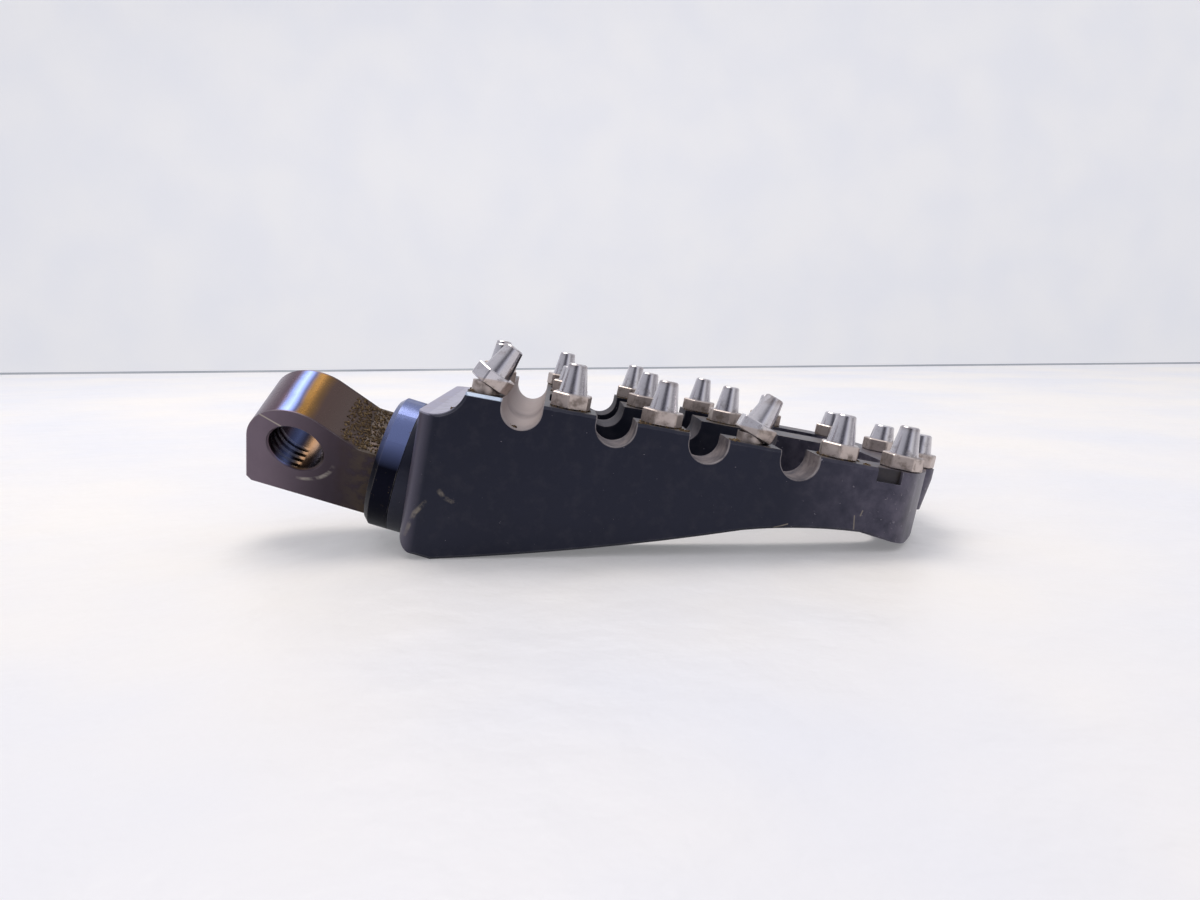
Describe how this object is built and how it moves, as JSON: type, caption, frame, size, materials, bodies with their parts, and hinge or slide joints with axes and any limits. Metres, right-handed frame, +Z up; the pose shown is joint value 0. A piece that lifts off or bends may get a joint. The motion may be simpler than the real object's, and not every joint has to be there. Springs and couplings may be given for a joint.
{
  "type": "motorcycle foot peg",
  "caption": "Motocross-style foot peg: open black frame with scalloped deck, screw-in steel cleats and a swivelling steel pivot mount held by a clamp screw.",
  "frame": {"origin": "centre of the pivot bore", "axes": "+X from the pivot along the peg to its nose, +Y from the front wall to the rear wall, +Z up as the loose peg lies on a flat surface"},
  "size_m": [0.1285, 0.058, 0.0358],
  "materials": {
    "black_anodised_aluminium": "satin",
    "blued_steel": "satin",
    "stainless_steel": "satin",
    "black_oxide_steel": "satin",
    "zinc_plated_steel": "satin"
  },
  "bodies": {
    "peg": {"peg_body": "black_anodised_aluminium", "clamp_washer": "zinc_plated_steel", "cleat_front_1": "stainless_steel", "cleat_front_2": "stainless_steel", "cleat_front_3": "stainless_steel", "cleat_front_4": "stainless_steel", "cleat_front_5": "stainless_steel", "cleat_rib_1": "stainless_steel", "cleat_rib_2": "stainless_steel", "cleat_rib_3": "stainless_steel", "cleat_rib_4": "stainless_steel", "cleat_rear_1": "stainless_steel", "cleat_rear_2": "stainless_steel", "cleat_rear_3": "stainless_steel", "cleat_rear_4": "stainless_steel", "cleat_rear_5": "stainless_steel", "cleat_nose_1": "stainless_steel", "cleat_nose_2": "stainless_steel", "cleat_nose_3": "stainless_steel", "cleat_nose_4": "stainless_steel"},
    "mount": {"pivot_mount": "blued_steel", "clamp_screw": "black_oxide_steel"}
  },
  "joints": [
    {"name": "mount_swivel", "type": "hinge", "parent": "peg", "child": "mount", "pos_m": [0.01749, 0.00112, -0.00735], "axis": [-0.9522, 0, 0.3053], "continuous": true}
  ]
}
